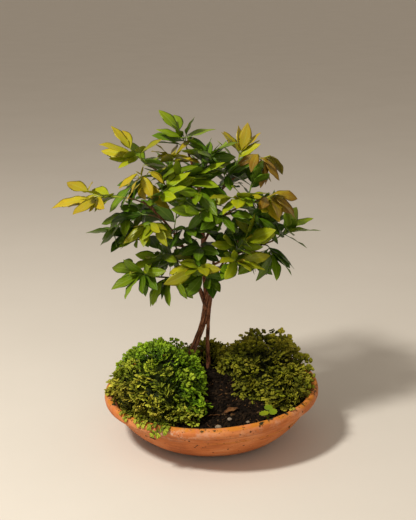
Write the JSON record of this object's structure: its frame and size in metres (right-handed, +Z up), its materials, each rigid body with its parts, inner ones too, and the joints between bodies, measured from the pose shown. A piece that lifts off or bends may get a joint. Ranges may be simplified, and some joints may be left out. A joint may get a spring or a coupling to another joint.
{
  "type": "bonsai tree in a pot",
  "caption": "Young two-stemmed bonsai tree with lime and golden shoots over mossy soil in a shallow terracotta bowl.",
  "frame": {"origin": "centre of the bowl's flat underside", "axes": "+Z up, -Y towards the front, where the soil is bare, and +X to the right seen from the front"},
  "size_m": [0.3304, 0.28, 0.4206],
  "materials": {
    "terracotta": "matte",
    "drainage_plastic": "matte",
    "drainage_grit": "matte",
    "potting_soil": "matte",
    "bark": "matte",
    "leaf_green": "satin",
    "leaf_lime": "satin",
    "leaf_gold": "satin",
    "moss_bright": "matte",
    "moss_dark": "matte",
    "pale_stone": "matte",
    "dry_leaf": "matte"
  },
  "bodies": {
    "root": {"bowl": "terracotta", "drainage_mesh": "drainage_plastic", "drainage_grit": "drainage_grit", "soil": "potting_soil", "tree_wood": "bark", "moss_left": "moss_bright", "moss_right": "moss_dark", "moss_rear": "moss_dark", "pebble_front": "pale_stone", "pebble_middle": "pale_stone", "pebble_side": "pale_stone", "seedling": "leaf_lime", "fallen_leaf_front": "dry_leaf", "fallen_leaf_side": "dry_leaf", "shoot_far_left": "leaf_gold", "shoot_left_gold": "leaf_gold", "shoot_left_dark": "leaf_green", "shoot_left_yellow": "leaf_lime", "shoot_front_upper_left": "leaf_lime", "shoot_front_core": "leaf_green", "shoot_left_pale": "leaf_lime", "shoot_left_low_core": "leaf_green", "shoot_upper_left": "leaf_lime", "shoot_left_shade": "leaf_green", "shoot_crown_left": "leaf_gold", "shoot_inner_left": "leaf_green", "shoot_long_lime": "leaf_lime", "shoot_top": "leaf_green", "shoot_front_low_core": "leaf_green", "shoot_top_front": "leaf_green", "shoot_front_upper": "leaf_green", "shoot_upper_right_tip": "leaf_gold", "shoot_top_right": "leaf_lime", "shoot_upper_right_inner": "leaf_green", "shoot_right_tip": "leaf_gold", "shoot_right_upper_mid": "leaf_green", "shoot_right_lime": "leaf_lime", "shoot_right_dark": "leaf_green", "shoot_front_right_upper": "leaf_green", "shoot_front_mid": "leaf_green", "shoot_low_right_tip": "leaf_green", "shoot_low_right_hang": "leaf_green", "shoot_low_right_upper": "leaf_green", "shoot_front_right": "leaf_lime", "shoot_front_left": "leaf_lime", "shoot_right_front": "leaf_lime", "shoot_low_centre": "leaf_green", "shoot_low_left_tip": "leaf_green", "shoot_low_left_hang": "leaf_green", "shoot_left_long": "leaf_green", "shoot_left_twig": "leaf_green", "shoot_right_core": "leaf_green", "shoot_rear_left_tip": "leaf_green", "shoot_rear_left_low": "leaf_green", "shoot_rear_left_upper": "leaf_green", "shoot_rear_right_tip": "leaf_green", "shoot_rear_right_low": "leaf_green", "shoot_rear_mid_tip": "leaf_green", "shoot_rear_mid_left": "leaf_green", "shoot_rear_mid_right": "leaf_green"}
  },
  "joints": []
}
